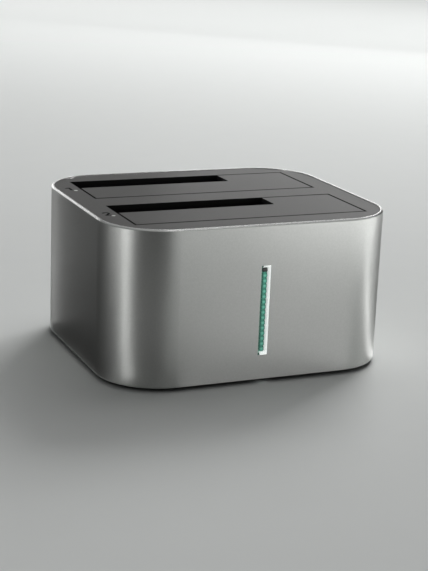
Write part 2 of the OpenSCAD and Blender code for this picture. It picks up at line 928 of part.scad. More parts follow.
module power_switch_body() {
    out_w = cavity_half + rocker_wall;
    out_h = cavity_half_t + rocker_wall;
    color(black_plastic)
    difference() {
        union() {
            switch_box(out_w, out_h, rocker_body_back, panel_face + bezel_t);
            switch_box(out_w + bezel_lip, out_h + bezel_lip / 2, panel_face, panel_face + bezel_t);
        }
        switch_box(cavity_half, cavity_half_t, cavity_back, panel_face + bezel_t + through);
        translate([rocker_x, rocker_y, port_mid])
            cylinder(2 * (rocker_half_t + rocker_pin_l), r = rocker_pin_r + run_play, center = true);
    }
}

// Rocker at rest: its right half lies flat and its left half stands out
module power_rocker() {
    color(black_plastic)
    translate([rocker_x, rocker_y, port_mid])
    rotate([0, 0, -rocker_tilt]) {
        linear_extrude(2 * rocker_half_t, center = true)
            polygon([[-rocker_foot_half, -rocker_under], [rocker_foot_half, -rocker_under],
                [rocker_half, rocker_tip], [0, rocker_crown], [-rocker_half, rocker_tip]]);
        cylinder(2 * (rocker_half_t + rocker_pin_l) - seat, r = rocker_pin_r, center = true);
    }
}

module copy_button() {
    color(grey_plastic)
    translate([copy_x, copy_flange_back, port_mid]) {
        bar_y(copy_flange_r, copy_flange_t);
        bar_y(copy_r, panel_face + copy_proud - copy_flange_back);
    }
}

module copy_plunger() {
    color(dark_plastic)
    translate([copy_x, copy_flange_back - copy_plunger_l, port_mid]) bar_y(copy_plunger_r, copy_plunger_l);
}

module copy_switch_body() {
    back = copy_body_face - copy_body_d;
    color(black_plastic)
    difference() {
        span([copy_x - copy_body_w / 2, back, board_top],
            [copy_x + copy_body_w / 2, copy_body_face, board_top + copy_body_h]);
        translate([copy_x, copy_flange_back - copy_plunger_l - copy_travel - play, port_mid])
            bar_y(copy_plunger_r + play, copy_body_d);
    }
}

// Screws

module base_screws() {
    color(steel)
    at_posts()
        translate([0, 0, base_z + counterbore])
        screw_up(screw_r, pilot_depth + standoff_h, head_r, head_h);
}

module board_screws() {
    color(steel)
    at_board_screws()
        translate([0, 0, board_top])
        mirror([0, 0, 1])
        screw_up(screw_r, board_top - board_screw_low - seat, head_r, board_head_h);
}

module cover_screws() {
    color(steel)
    at_ears() translate([0, 0, ear_z]) screw_up(screw_r, ear_t + ear_boss_h - seat, head_r, head_h);
}

module led_board_screws() {
    color(steel)
    at_led_screws()
        translate([0, -led_board_t, 0])
        rotate([-90, 0, 0])
        screw_up(small_screw_r, led_screw_l, small_head_r, small_head_h);
}

body_sleeve();
top_cover();
drive_frame();
base_plate();
rear_panel();
flap(bay_mid);  // flap_rear
flap(-bay_mid);  // flap_front
hinge_pin(bay_mid);  // hinge_pin_rear
hinge_pin(-bay_mid);  // hinge_pin_front
flap_spring(bay_mid);  // flap_spring_rear
flap_spring(-bay_mid);  // flap_spring_front
main_board();
sata_socket(bay_mid);  // sata_socket_rear
sata_socket(-bay_mid);  // sata_socket_front
sata_contacts(bay_mid);  // sata_contacts_rear
sata_contacts(-bay_mid);  // sata_contacts_front
usb_shell();
usb_tongue();
power_inlet();
power_inlet_pin();
power_switch_body();
power_rocker();
copy_button();
copy_plunger();
copy_switch_body();
light_bar_lens();
led_board();
light_bar_leds();
led_header();
light_pipe(bay_mid);  // light_pipe_rear
light_pipe(-bay_mid);  // light_pipe_front
bay_leds();
bridge_chip();
memory_chip();
capacitors();
power_coil();
crystal();
foot(-1, -1);  // foot_front_left
foot(1, -1);  // foot_front_right
foot(-1, 1);  // foot_rear_left
foot(1, 1);  // foot_rear_right
base_screws();
board_screws();
cover_screws();
led_board_screws();
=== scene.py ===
"""Looks of a two-bay desktop dock for bare hard drives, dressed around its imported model."""

import math

import bpy
import numpy as np
from mathutils import Matrix, Vector


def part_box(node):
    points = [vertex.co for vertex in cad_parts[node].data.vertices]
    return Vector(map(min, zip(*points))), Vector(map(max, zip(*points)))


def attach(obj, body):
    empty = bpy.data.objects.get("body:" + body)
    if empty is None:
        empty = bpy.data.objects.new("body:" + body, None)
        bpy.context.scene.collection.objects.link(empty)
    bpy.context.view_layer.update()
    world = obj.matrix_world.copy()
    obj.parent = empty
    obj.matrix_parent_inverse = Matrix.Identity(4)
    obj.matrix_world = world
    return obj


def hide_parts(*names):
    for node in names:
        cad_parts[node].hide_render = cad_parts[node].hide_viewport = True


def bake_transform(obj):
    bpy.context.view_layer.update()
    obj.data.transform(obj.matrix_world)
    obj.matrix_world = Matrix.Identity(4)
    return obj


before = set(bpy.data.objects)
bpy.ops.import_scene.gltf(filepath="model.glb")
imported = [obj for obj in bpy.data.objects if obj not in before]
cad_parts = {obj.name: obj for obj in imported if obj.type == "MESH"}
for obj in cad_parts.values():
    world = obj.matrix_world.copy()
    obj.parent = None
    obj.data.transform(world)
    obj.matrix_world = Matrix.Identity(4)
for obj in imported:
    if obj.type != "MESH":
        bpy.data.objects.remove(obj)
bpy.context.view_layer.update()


# Base plate: a flat floor of black ABS that closes the sleeve from below and carries the board's
# standoffs. It is injection moulded with a lightly spark-eroded skin, and four screws hold it up to the
# drive frame.
mm = 0.001
mottle_cells = 45.0


def node_in(tree, kind, inputs=None, **settings):
    """Adds a node with its settings; an input given as a socket is linked, any other is its value."""
    node = tree.nodes.new(kind)
    for key, value in settings.items():
        setattr(node, key, value)
    for key, value in (inputs or {}).items():
        if isinstance(value, bpy.types.NodeSocket):
            tree.links.new(value, node.inputs[key])
        else:
            node.inputs[key].default_value = value
    return node


def math_in(tree, operation, *values):
    """Output of a math node over sockets or numbers."""
    return node_in(tree, "ShaderNodeMath", dict(enumerate(values)), operation=operation).outputs[0]


def surface_skin():
    """Shader group for the skin of a moulded or metal face.

    Fine noise at Grain cells per metre, drawn out along Stretch, gives bumps of Depth metres and moves
    the roughness by Spread to each side. Slow noise at mottle_cells per metre moves the brightness of
    Colour by Mottle.
    """
    group = bpy.data.node_groups.new("surface_skin", "ShaderNodeTree")
    for name, kind in (("Colour", "Color"), ("Mottle", "Float"), ("Grain", "Float"), ("Stretch", "Vector"),
                       ("Roughness", "Float"), ("Spread", "Float"), ("Depth", "Float")):
        group.interface.new_socket(name, in_out="INPUT", socket_type="NodeSocket" + kind)
    for name, kind in (("Colour", "Color"), ("Roughness", "Float"), ("Normal", "Vector")):
        group.interface.new_socket(name, in_out="OUTPUT", socket_type="NodeSocket" + kind)
    given = node_in(group, "NodeGroupInput").outputs
    place = node_in(group, "ShaderNodeTexCoord").outputs["Object"]
    drawn = node_in(group, "ShaderNodeVectorMath", {0: place, 1: given["Stretch"]}, operation="MULTIPLY")
    fine = node_in(group, "ShaderNodeTexNoise",
                   {"Vector": drawn.outputs[0], "Scale": given["Grain"], "Detail": 2.0}).outputs["Fac"]
    slow = node_in(group, "ShaderNodeTexNoise",
                   {"Vector": place, "Scale": mottle_cells, "Detail": 3.0}).outputs["Fac"]
    sway = math_in(group, "MULTIPLY_ADD", slow, 2.0, -1.0)
    shade = math_in(group, "MULTIPLY_ADD", sway, given["Mottle"], 1.0)
    toned = node_in(group, "ShaderNodeVectorMath", {0: given["Colour"], "Scale": shade}, operation="SCALE")
    swing = math_in(group, "MULTIPLY_ADD", fine, 2.0, -1.0)
    rough = math_in(group, "MULTIPLY_ADD", swing, given["Spread"], given["Roughness"])
    bump = node_in(group, "ShaderNodeBump", {"Height": fine, "Distance": given["Depth"], "Strength": 1.0})
    node_in(group, "NodeGroupOutput",
            {"Colour": toned.outputs[0], "Roughness": rough, "Normal": bump.outputs[0]})
    return group


skin_group = surface_skin()


def skinned(name, colour, roughness, grain, depth, metallic=0.0, mottle=0.06, spread=0.05,
            stretch=(1, 1, 1), specular=0.5):
    """A material whose colour, roughness and normal come from the shared skin, with these values."""
    material = bpy.data.materials.new(name)
    material.use_nodes = True
    tree = material.node_tree
    shader = tree.nodes["Principled BSDF"]
    shader.inputs["Metallic"].default_value = metallic
    shader.inputs["Specular IOR Level"].default_value = specular
    skin = node_in(tree, "ShaderNodeGroup", node_tree=skin_group)
    for key, value in (("Colour", (*colour, 1)), ("Mottle", mottle), ("Grain", grain), ("Stretch", stretch),
                       ("Roughness", roughness), ("Spread", spread), ("Depth", depth)):
        skin.inputs[key].default_value = value
    for key, socket in (("Base Color", "Colour"), ("Roughness", "Roughness"), ("Normal", "Normal")):
        tree.links.new(skin.outputs[socket], shader.inputs[key])
    return material


def dress(material, *names):
    """Gives these CAD nodes that material."""
    for name in names:
        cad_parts[name].material_slots[0].material = material


black_moulding = skinned("black_moulding", colour=(0.016, 0.016, 0.017), roughness=0.48,
                         grain=3200, depth=0.02 * mm)
dress(black_moulding, "base_plate")


# Feet: four discs of soft black rubber, pressed into round pockets of the base plate.
# Rubber is dull all over, with a faint bloom that makes its tone uneven.
foot_rubber = skinned("foot_rubber", colour=(0.022, 0.022, 0.021), roughness=0.82,
                      grain=1800, depth=0.03 * mm, mottle=0.25)
dress(foot_rubber, "foot_front_left", "foot_front_right", "foot_rear_left", "foot_rear_right")


# Screws, hinge pins, the power inlet's pin and the crystal's can: bright zinc-plated or drawn steel.
# Turned and drawn pieces carry fine lines, which the stretched grain gives.
steel = skinned("plated_steel", colour=(0.58, 0.57, 0.55), roughness=0.27,
                grain=5200, depth=0.006 * mm, metallic=1.0, stretch=(0.2, 1, 1))
dress(steel, "base_screws", "board_screws", "cover_screws", "led_board_screws", "crystal",
      "hinge_pin_rear", "hinge_pin_front", "power_inlet_pin")


# Flap springs: torsion springs of steel wire, wound round the hinge pins where each flap's barrel is
# notched. One leg lies under the flap and the other along the well's front wall, so the coil winds up as
# the flap opens.
wire_r = 0.25 * mm
wire_sides = 12
coil_gap = 0.1 * mm
coil_pitch = 1 * mm
coil_turns = 5
quarter = 0.25
turn_steps = 32
leg_l = 8 * mm


def carried(name, runs):
    """Object made of closed profiles carried along paths.

    A run is an array (rings, corners, 3) of points. Each ring is joined to the next one by four-sided
    faces, and the first and last rings are closed by a face of their own.
    """
    points, faces, start = [], [], 0
    for run in runs:
        count, corners = run.shape[:2]
        here = np.arange(corners)
        there = (here + 1) % corners
        ring = start + np.arange(count - 1)[:, None] * corners
        sides = np.stack([ring + here, ring + corners + here, ring + corners + there, ring + there], axis=-1)
        last = start + corners * (count - 1)
        faces += sides.reshape(-1, 4).tolist() + [(start + here).tolist(), (last + here[::-1]).tolist()]
        points.append(run.reshape(-1, 3))
        start += count * corners
    mesh = bpy.data.meshes.new(name)
    mesh.from_pydata(np.concatenate(points).tolist(), [], faces)
    piece = bpy.data.objects.new(name, mesh)
    bpy.context.scene.collection.objects.link(piece)
    return piece


def wound_wire(middle, pin_r):
    """Rings of round wire along a leg, a helix about the pin's middle line along X, and a second leg.

    The helix turns from the pin's top to its front, coil_turns and a quarter times round, at the pin's
    radius plus coil_gap plus wire_r, and x grows by coil_pitch a turn. Each leg goes on straight from its
    end, for leg_l.
    """
    radius = pin_r + coil_gap + wire_r
    turns = coil_turns + quarter
    turned = np.linspace(0, turns, round(turns * turn_steps) + 1)
    turned = np.concatenate([turned[:1], turned, turned[-1:]])
    angle = (turned + quarter) * 2 * math.pi
    radial = np.stack([np.zeros_like(angle), np.cos(angle), np.sin(angle)], axis=1)
    path = middle + radius * radial
    path[:, 0] += (turned - coil_turns / 2) * coil_pitch
    path[0, 1] += leg_l
    path[-1, 2] -= leg_l
    round_wire = np.arange(wire_sides) * 2 * math.pi / wire_sides
    outward = np.cos(round_wire)[:, None] * radial[:, None]
    outward[:, :, 0] = np.sin(round_wire)
    return path[:, None] + wire_r * outward


for name, node, pin, flap_body in (
        ("spring_coil_rear", "flap_spring_rear", "hinge_pin_rear", "rear_flap"),
        ("spring_coil_front", "flap_spring_front", "hinge_pin_front", "front_flap")):
    pin_low, pin_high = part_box(pin)
    pin_middle = (pin_low + pin_high) / 2
    spring = carried(name, [wound_wire(np.array(pin_middle), (pin_high.z - pin_low.z) / 2)])
    spring.data.shade_smooth()
    spring.data.materials.append(steel)
    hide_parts(node)
    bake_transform(spring)


# Main board and light board: glass-fibre laminate under green solder mask, with copper runs that show
# through the mask as lighter lines. The boards are cut by router and screwed to their standoffs.
run_cells = 260.0
run_scatter = 0.7
run_spacing = 0.14
run_w = 0.035
run_green = (0.03, 0.15, 0.07, 1)


def opened(material):
    """Node tree, shader and Object coordinates of a material, to build on."""
    tree = material.node_tree
    return tree, tree.nodes["Principled BSDF"], node_in(tree, "ShaderNodeTexCoord").outputs["Object"]


def fed_by(shader, key):
    """Socket that is linked to this input of the shader."""
    return shader.inputs[key].links[0].from_socket


def colour_mix(tree, factor, first, second):
    """Colour that goes from the first to the second as factor goes from 0 to 1."""
    inputs = {"Factor": factor, 6: first, 7: second}
    return node_in(tree, "ShaderNodeMix", inputs, data_type="RGBA").outputs[2]


def board_laminate():
    """Skin of the mask, lightened along the borders of a coarse blocky cell pattern, which are the runs.

    A point is on a run where its distance from its cell's middle, folded to and fro over run_spacing,
    is under run_w; both are shares of a cell.
    """
    material = skinned("board_laminate", colour=(0.012, 0.075, 0.035), roughness=0.34,
                       grain=2600, depth=0.01 * mm)
    tree, shader, place = opened(material)
    cells = node_in(tree, "ShaderNodeTexVoronoi",
                    {"Vector": place, "Scale": run_cells, "Randomness": run_scatter},
                    feature="F1", distance="CHEBYCHEV")
    rings = math_in(tree, "PINGPONG", cells.outputs["Distance"], run_spacing)
    run = math_in(tree, "LESS_THAN", rings, run_w)
    colour = colour_mix(tree, run, fed_by(shader, "Base Color"), run_green)
    tree.links.new(colour, shader.inputs["Base Color"])
    return material


dress(board_laminate(), "main_board", "led_board")


# Parts on the boards: chips in black epoxy, a moulded choke and header, blue-sleeved electrolytic cans
# and lamp dies. Each is soldered to its board; the epoxy has a dull, slightly sandy face.
chip_epoxy = skinned("chip_epoxy", colour=(0.02, 0.02, 0.021), roughness=0.6,
                     grain=4200, depth=0.02 * mm)
dress(chip_epoxy, "bridge_chip", "memory_chip", "power_coil", "led_header")
can_sleeve = skinned("can_sleeve", colour=(0.03, 0.045, 0.11), roughness=0.3,
                     grain=1500, depth=0.01 * mm)
dress(can_sleeve, "capacitors")
lamp_resin = skinned("lamp_resin", colour=(0.62, 0.6, 0.42), roughness=0.35,
                     grain=2400, depth=0.01 * mm)
dress(lamp_resin, "light_bar_leds", "bay_leds")


# Drive receptacles: black glass-filled sockets on the board that reach up through the floors of the wells,
# with a row of gold-plated spring contacts in each of their two slots. The power inlet and the switch
# under the copy button are moulded in the same resin.
socket_resin = skinned("socket_resin", colour=(0.018, 0.018, 0.018), roughness=0.42,
                       grain=3600, depth=0.012 * mm)
dress(socket_resin, "sata_socket_rear", "sata_socket_front", "power_inlet", "copy_switch_body")
contact_gold = skinned("contact_gold", colour=(0.83, 0.58, 0.24), roughness=0.24,
                       grain=6000, depth=0.004 * mm, metallic=1.0)
dress(contact_gold, "sata_contacts_rear", "sata_contacts_front")


# Data socket at the back: a folded shell of nickel-plated sheet round two blue tongues.
# The shell is bright with rolling lines along its depth; the tongues are moulded nylon.
shell_nickel = skinned("shell_nickel", colour=(0.66, 0.65, 0.62), roughness=0.24,
                       grain=3800, depth=0.005 * mm, metallic=1.0, stretch=(1, 0.12, 1))
dress(shell_nickel, "usb_shell")
tongue_nylon = skinned("tongue_nylon", colour=(0.02, 0.09, 0.42), roughness=0.42,
                       grain=3000, depth=0.01 * mm)
dress(tongue_nylon, "usb_tongue")


# Socket panel and switch housing at the back: satin black mouldings set into the sleeve's window.
# The panel is held between the sleeve and the board's edge; the housing clips into it.
panel_moulding = skinned("panel_moulding", colour=(0.026, 0.026, 0.027), roughness=0.5,
                         grain=3000, depth=0.02 * mm)
dress(panel_moulding, "rear_panel")
switch_moulding = skinned("switch_moulding", colour=(0.018, 0.018, 0.019), roughness=0.38,
                          grain=3400, depth=0.012 * mm)
dress(switch_moulding, "power_switch_body")


# Copy button: a round satin cap with its stem, moulded in one grey resin.
# It slides in a hole of the panel and presses a small switch on the board.
button_satin = skinned("button_satin", colour=(0.11, 0.11, 0.112), roughness=0.36,
                       grain=3000, depth=0.01 * mm)
dress(button_satin, "copy_button", "copy_plunger")


# Power rocker: a glossy black moulding with two flat halves that meet in a shallow valley over its pins.
# At rest the half with the ring is pressed in and lies level; the half with the bar stands out. Both marks
# are pad-printed in pale ink.
rocker_gloss = skinned("rocker_gloss", colour=(0.014, 0.014, 0.015), roughness=0.26,
                       grain=2600, depth=0.006 * mm)
dress(rocker_gloss, "power_rocker")
rocker_slope = math.radians(20)
valley = Vector((-24.722, 53.325, 12.7)) * mm
mark_from_valley = 2.7 * mm
mark_stroke = 0.28 * mm
ring_r = 0.85 * mm
ring_steps = 40
bar_half_l = 0.95 * mm
ink_high = 0.03 * mm


def inked(name, strokes, width, origin, side, up):
    """Printed mark: a flat rectangle, width across and twice ink_high through, carried along each stroke.

    A stroke is an array of points (u, v) in the plane of side and up through origin. The rectangle stands
    square to the stroke's direction, half sunk in the face that it is printed on.
    """
    side, up, origin = (np.asarray(v, float) for v in (side, up, origin))
    out = np.cross(side, up)
    edge = np.array([(-0.5, -1), (0.5, -1), (0.5, 1), (-0.5, 1)])
    runs = []
    for stroke in strokes:
        flow = np.gradient(stroke, axis=0)
        flow /= np.linalg.norm(flow, axis=1, keepdims=True)
        across = flow[:, 1:] * side - flow[:, :1] * up
        middle = origin + stroke[:, :1] * side + stroke[:, 1:] * up
        runs.append(middle[:, None] + edge[:, :1] * width * across[:, None] + edge[:, 1:] * ink_high * out)
    return carried(name, runs)


turn = np.linspace(0, 2 * math.pi, ring_steps + 1)
ring_line = np.stack([np.cos(turn), np.sin(turn)], axis=1) * ring_r
bar_line = np.linspace((0, -bar_half_l), (0, bar_half_l), 2)
along_bar_half = Vector((-math.cos(rocker_slope), math.sin(rocker_slope), 0))
ring_place = valley + Vector((mark_from_valley, 0, 0))
bar_place = valley + along_bar_half * mark_from_valley
pale_ink = skinned("pale_ink", colour=(0.55, 0.55, 0.54), roughness=0.5,
                   grain=4000, depth=0.004 * mm)
for mark in (inked("rocker_ring", [ring_line], mark_stroke, ring_place, side=(-1, 0, 0), up=(0, 0, 1)),
             inked("rocker_bar", [bar_line], mark_stroke, bar_place, side=along_bar_half, up=(0, 0, 1))):
    mark.data.materials.append(pale_ink)
    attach(mark, "power_key")


# Drive frame: one large black moulding with both drive wells, its posts, webs and ears.
# Only its dark inner walls show, down through the open slots and under a raised flap; its black resin is
# darkened further and made dull as painted shade in the wells.
well_moulding_and_shade = skinned("well_moulding_and_shade", colour=(0.007, 0.007, 0.007), roughness=0.6,
                        grain=2800, depth=0.025 * mm, specular=0.1)
dress(well_moulding_and_shade, "drive_frame")


# Flaps and top cover: dark grey ABS with one fine spark-eroded skin, so that they read as one top face.
# The cover drops into the sleeve's rim, and each flap hangs on a steel pin. The grey lies on the upper faces
# alone: edges and undersides are black resin, darkened further and made dull as painted shade so that slots
# stay dark, and a band of painted shade runs along each seam on the top face.
top_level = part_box("top_cover")[1].z
top_skin = 0.05 * mm
bay_half_l = 52 * mm
bay_half_d = 17.5 * mm
bay_y = 24.7 * mm
seam = 0.4 * mm
# Width of painted shade added to both sides of each seam on the top face.
seam_painted_shade_w = 0.35 * mm
# Black of the resin, also painted as shade on edges, undersides and along the seams.
resin_black_and_painted_shade = (0.004, 0.004, 0.004, 1)
resin_rough = 1.0


def value_mix(tree, factor, first, second):
    """Number that goes from the first to the second as factor goes from 0 to 1."""
    return node_in(tree, "ShaderNodeMix", {"Factor": factor, 2: first, 3: second}).outputs[0]


def grey_topped():
    """Grey skin at the level of the cover's top; below it a dull black that is resin and painted shade, and a
    band of painted shade along the seam.

    The seam is the band where the larger of (|x| less the bay's half length) and (the distance of |y| from
    the bay's middle, less its half depth) lies between minus seam and zero, widened to both sides by a band
    of painted shade.
    """
    material = skinned("grey_top", colour=(0.066, 0.065, 0.0625), roughness=0.46,
                       grain=3000, depth=0.02 * mm, mottle=0.04, specular=0.2)
    tree, shader, place = opened(material)
    x, y, z = node_in(tree, "ShaderNodeSeparateXYZ", {0: place}).outputs
    past_end = math_in(tree, "SUBTRACT", math_in(tree, "ABSOLUTE", x), bay_half_l)
    from_middle = math_in(tree, "SUBTRACT", math_in(tree, "ABSOLUTE", y), bay_y)
    past_side = math_in(tree, "SUBTRACT", math_in(tree, "ABSOLUTE", from_middle), bay_half_d)
    outside = math_in(tree, "MAXIMUM", past_end, past_side)
    off_seam = math_in(tree, "ABSOLUTE", math_in(tree, "ADD", outside, seam / 2))
    clear_of_seam = math_in(tree, "GREATER_THAN", off_seam, seam / 2 + seam_painted_shade_w)
    upper = math_in(tree, "GREATER_THAN", z, top_level - top_skin)
    on_top = math_in(tree, "MULTIPLY", upper, clear_of_seam)
    # Painted shade: black below the top face and along the seams.
    colour = colour_mix(tree, on_top, resin_black_and_painted_shade, fed_by(shader, "Base Color"))
    tree.links.new(colour, shader.inputs["Base Color"])
    rough = value_mix(tree, on_top, resin_rough, fed_by(shader, "Roughness"))
    tree.links.new(rough, shader.inputs["Roughness"])
    return material


dress(grey_topped(), "top_cover", "flap_rear", "flap_front")


# Light pipes: short rods of clear acrylic, pushed through the cover beside each bay, pale at their
# polished ends. Behind each one its bay's number is pad-printed on the cover in black.
pipe_acrylic = skinned("pipe_acrylic", colour=(0.85, 0.88, 0.85), roughness=0.2,
                       grain=1500, depth=0.004 * mm)
dress(pipe_acrylic, "light_pipe_rear", "light_pipe_front")
black_ink = skinned("black_ink", colour=(0.006, 0.006, 0.006), roughness=0.8,
                    grain=4000, depth=0.004 * mm, specular=0.05)
digit_x = -56.8 * mm
digit_behind_pipe = 3.2 * mm
digit_size = 1.2 * mm
digit_stroke = 1 * mm
one_stem = np.linspace((0.2, -2), (0.2, 2), 2)
one_flag = np.linspace((0.25, 1.9), (-1.2, 1.3), 2)
bow = np.radians(np.linspace(165, -38, 24))
two_bow = np.stack([np.cos(bow), 0.95 + 1.05 * np.sin(bow)], axis=1)
two_neck = [(-0.2, -1.1), (-1.0, -1.85)]
two_foot = np.linspace((-1.1, -1.8), (1.1, -1.8), 2)
one_lines = [one_stem * digit_size, one_flag * digit_size]
two_lines = [np.concatenate([two_bow, two_neck]) * digit_size, two_foot * digit_size]
for name, lines, pipe in (("bay_digit_rear", one_lines, "light_pipe_rear"),
                          ("bay_digit_front", two_lines, "light_pipe_front")):
    pipe_low, pipe_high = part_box(pipe)
    middle = (digit_x, (pipe_low.y + pipe_high.y) / 2 + digit_behind_pipe, top_level)
    digit = inked(name, lines, digit_stroke, middle, side=(1, 0, 0), up=(0, 1, 0))
    digit.data.materials.append(black_ink)
    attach(digit, "dock")


# Sleeve: one extruded piece of aluminium, bead-blasted and anodised grey. Its top rim and the edge of its
# light slot are cut afterwards with a diamond tool, which leaves them bright. The slot's right bevel and ends
# also carry a painted glow that keeps them white, and its left bevel a painted shade and painted green
# reflection of the bar.
sleeve_low, sleeve_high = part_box("body_sleeve")
rim_cut = 0.5 * mm
slot_start = 0.02 * mm
slot_reach = 2.6 * mm
slot_half_w = 3 * mm
slot_top = 56 * mm
bevel_start = 1.05 * mm
speckle_cells = 1500.0
speckle_depth = 0.16
cut_silver = (0.9, 0.9, 0.89, 1)
# Painted shade and painted green reflection of the bar, on the slot's left bevel.
cut_painted_shade_and_reflection = (0.16, 0.3, 0.25, 1)
polish_rough = 0.25
frost_rough = 0.5
unlit = (0, 0, 0, 1)
# Painted light: a glow of the slot's right bevel and ends, which keeps them white.
bevel_painted_light = (0.42, 0.45, 0.44, 1)


def blasted_aluminium():
    """Blasted skin, and bright metal in the upper part of the rim's chamfer and inside the slot.

    Noise at speckle_cells per metre varies the skin's brightness by speckle_depth, as the beads' dimples do.
    The rim is polished. The slot's right bevel and its ends have a frosted cut and a painted glow of their
    own, which keeps them white. The left bevel's colour is a painted shade, tinted as a painted green
    reflection of the bar.
    """
    material = skinned("blasted_aluminium", colour=(0.418, 0.425, 0.412), roughness=0.32,
                       grain=3400, depth=0.023 * mm, metallic=1.0, mottle=0.02)
    tree, shader, place = opened(material)
    x, y, z = node_in(tree, "ShaderNodeSeparateXYZ", {0: place}).outputs
    on_rim = math_in(tree, "GREATER_THAN", z, sleeve_high.z - rim_cut)
    behind_face = math_in(tree, "GREATER_THAN", y, sleeve_low.y + slot_start)
    before_back = math_in(tree, "LESS_THAN", y, sleeve_low.y + slot_reach)
    near_middle = math_in(tree, "LESS_THAN", math_in(tree, "ABSOLUTE", x), slot_half_w)
    below_top = math_in(tree, "LESS_THAN", z, slot_top)
    in_depth = math_in(tree, "MULTIPLY", behind_face, before_back)
    in_slot = math_in(tree, "MULTIPLY", in_depth, math_in(tree, "MULTIPLY", near_middle, below_top))
    bright = math_in(tree, "MAXIMUM", on_rim, in_slot)
    on_left = math_in(tree, "MULTIPLY", in_slot, math_in(tree, "LESS_THAN", x, -bevel_start))
    on_right = math_in(tree, "SUBTRACT", in_slot, on_left)
    speckle = node_in(tree, "ShaderNodeTexNoise",
                      {"Vector": place, "Scale": speckle_cells, "Detail": 1.0}).outputs["Fac"]
    tone = math_in(tree, "MULTIPLY_ADD", speckle, speckle_depth, 1 - speckle_depth / 2)
    grained = node_in(tree, "ShaderNodeVectorMath",
                      {0: fed_by(shader, "Base Color"), "Scale": tone}, operation="SCALE").outputs[0]
    cut_colour = colour_mix(tree, on_left, cut_silver, cut_painted_shade_and_reflection)
    tree.links.new(colour_mix(tree, bright, grained, cut_colour), shader.inputs["Base Color"])
    cut_rough = value_mix(tree, on_right, polish_rough, frost_rough)
    rough = value_mix(tree, bright, fed_by(shader, "Roughness"), cut_rough)
    tree.links.new(rough, shader.inputs["Roughness"])
    # Painted light: glow on the slot's right bevel and ends.
    tree.links.new(colour_mix(tree, on_right, unlit, bevel_painted_light), shader.inputs["Emission Color"])
    shader.inputs["Emission Strength"].default_value = 1.0
    return material


dress(blasted_aluminium(), "body_sleeve")


# Light bar lens: green polycarbonate with a row of half-round beads, pushed into the slot from inside.
# Lamps behind it make the middle of each bead glow; the upper part of the topmost bead has no glow and is
# painted grey as shade from the slot's upper wall.
lens_low, lens_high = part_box("light_bar_lens")
lens_lip = 1.2 * mm
bead_count = 16
bead_mean = 0.74
bead_swing = 0.26
glow_w = 2.25 * mm
glow_at_foot = 0.72
dark_beads = 0.8
bead_glow = (0.1, 0.4, 0.29, 1)
# Painted shade: grey of the unlit top of the bar, shaded by the slot's upper wall.
top_bead_painted_shade = (0.06, 0.06, 0.06, 1)


def ramp_in(tree, value, start, end, first, last, curve="LINEAR"):
    """Number that goes from first to last as value goes from start to end, and is held beyond them."""
    inputs = {0: value, 1: start, 2: end, 3: first, 4: last}
    return node_in(tree, "ShaderNodeMapRange", inputs, interpolation_type=curve).outputs[0]


def beaded_lens():
    """Glow = bead_mean less bead_swing times the cosine of the height in beads, which peaks at each middle.

    A cosine across x takes it to none at half of glow_w, and it falls to glow_at_foot of itself at the foot
    of the bar. The upper dark_beads of the topmost bead have none, and their colour is a painted grey shade.
    """
    material = skinned("beaded_lens", colour=(0.012, 0.06, 0.045), roughness=0.22,
                       grain=1600, depth=0.004 * mm)
    tree, shader, place = opened(material)
    x, _, z = node_in(tree, "ShaderNodeSeparateXYZ", {0: place}).outputs
    low = lens_low.z + lens_lip
    high = lens_high.z - lens_lip
    bead = (high - low) / bead_count
    phase = math_in(tree, "MULTIPLY_ADD", z, 2 * math.pi / bead, -2 * math.pi * low / bead)
    swell = math_in(tree, "MULTIPLY_ADD", math_in(tree, "COSINE", phase), -bead_swing, bead_mean)
    across = math_in(tree, "COSINE", math_in(tree, "MULTIPLY", x, math.pi / glow_w))
    fade = ramp_in(tree, z, low, high, glow_at_foot, 1.0)
    lit = math_in(tree, "LESS_THAN", z, high - dark_beads * bead)
    shape = math_in(tree, "MULTIPLY", swell, across)
    glow = math_in(tree, "MULTIPLY", shape, math_in(tree, "MULTIPLY", fade, lit))
    tree.links.new(colour_mix(tree, glow, unlit, bead_glow), shader.inputs["Emission Color"])
    shader.inputs["Emission Strength"].default_value = 1.0
    # Painted shade: the unlit top of the bar takes the grey.
    body = colour_mix(tree, lit, top_bead_painted_shade, fed_by(shader, "Base Color"))
    tree.links.new(body, shader.inputs["Base Color"])
    return material


dress(beaded_lens(), "light_bar_lens")


# Floor: a plain pale sheet that the dock stands on, wide enough to fill the view. Far from the lamps it
# glows a little for the camera and in reflections, so that it stays pale to the horizon.
floor_half = 4.0
floor_glow = (0.98, 1, 0.985, 1)
floor_glow_from = 0.5
floor_glow_full = 2.0
floor_glow_most = 0.6
floor_mesh = bpy.data.meshes.new("floor")
floor_mesh.from_pydata([(-floor_half, -floor_half, 0), (floor_half, -floor_half, 0),
                        (floor_half, floor_half, 0), (-floor_half, floor_half, 0)], [], [(0, 1, 2, 3)])
floor = bpy.data.objects.new("floor", floor_mesh)
bpy.context.scene.collection.objects.link(floor)


def floor_paper():
    """Dull paper; its glow grows from none, floor_glow_from metres off, to its most, floor_glow_full off."""
    material = skinned("floor_paper", colour=(0.74, 0.755, 0.745), roughness=0.8,
                       grain=40, depth=0.0, mottle=0.01, specular=0.0)
    tree, shader, place = opened(material)
    away = node_in(tree, "ShaderNodeVectorMath", {0: place}, operation="LENGTH").outputs["Value"]
    far = ramp_in(tree, away, floor_glow_from, floor_glow_full, 0.0, floor_glow_most, "SMOOTHSTEP")
    path = node_in(tree, "ShaderNodeLightPath").outputs
    mirrored = math_in(tree, "MAXIMUM", path["Is Glossy Ray"], path["Is Transmission Ray"])
    seen = math_in(tree, "MAXIMUM", path["Is Camera Ray"], mirrored)
    shader.inputs["Emission Color"].default_value = floor_glow
    tree.links.new(math_in(tree, "MULTIPLY", far, seen), shader.inputs["Emission Strength"])
    return material


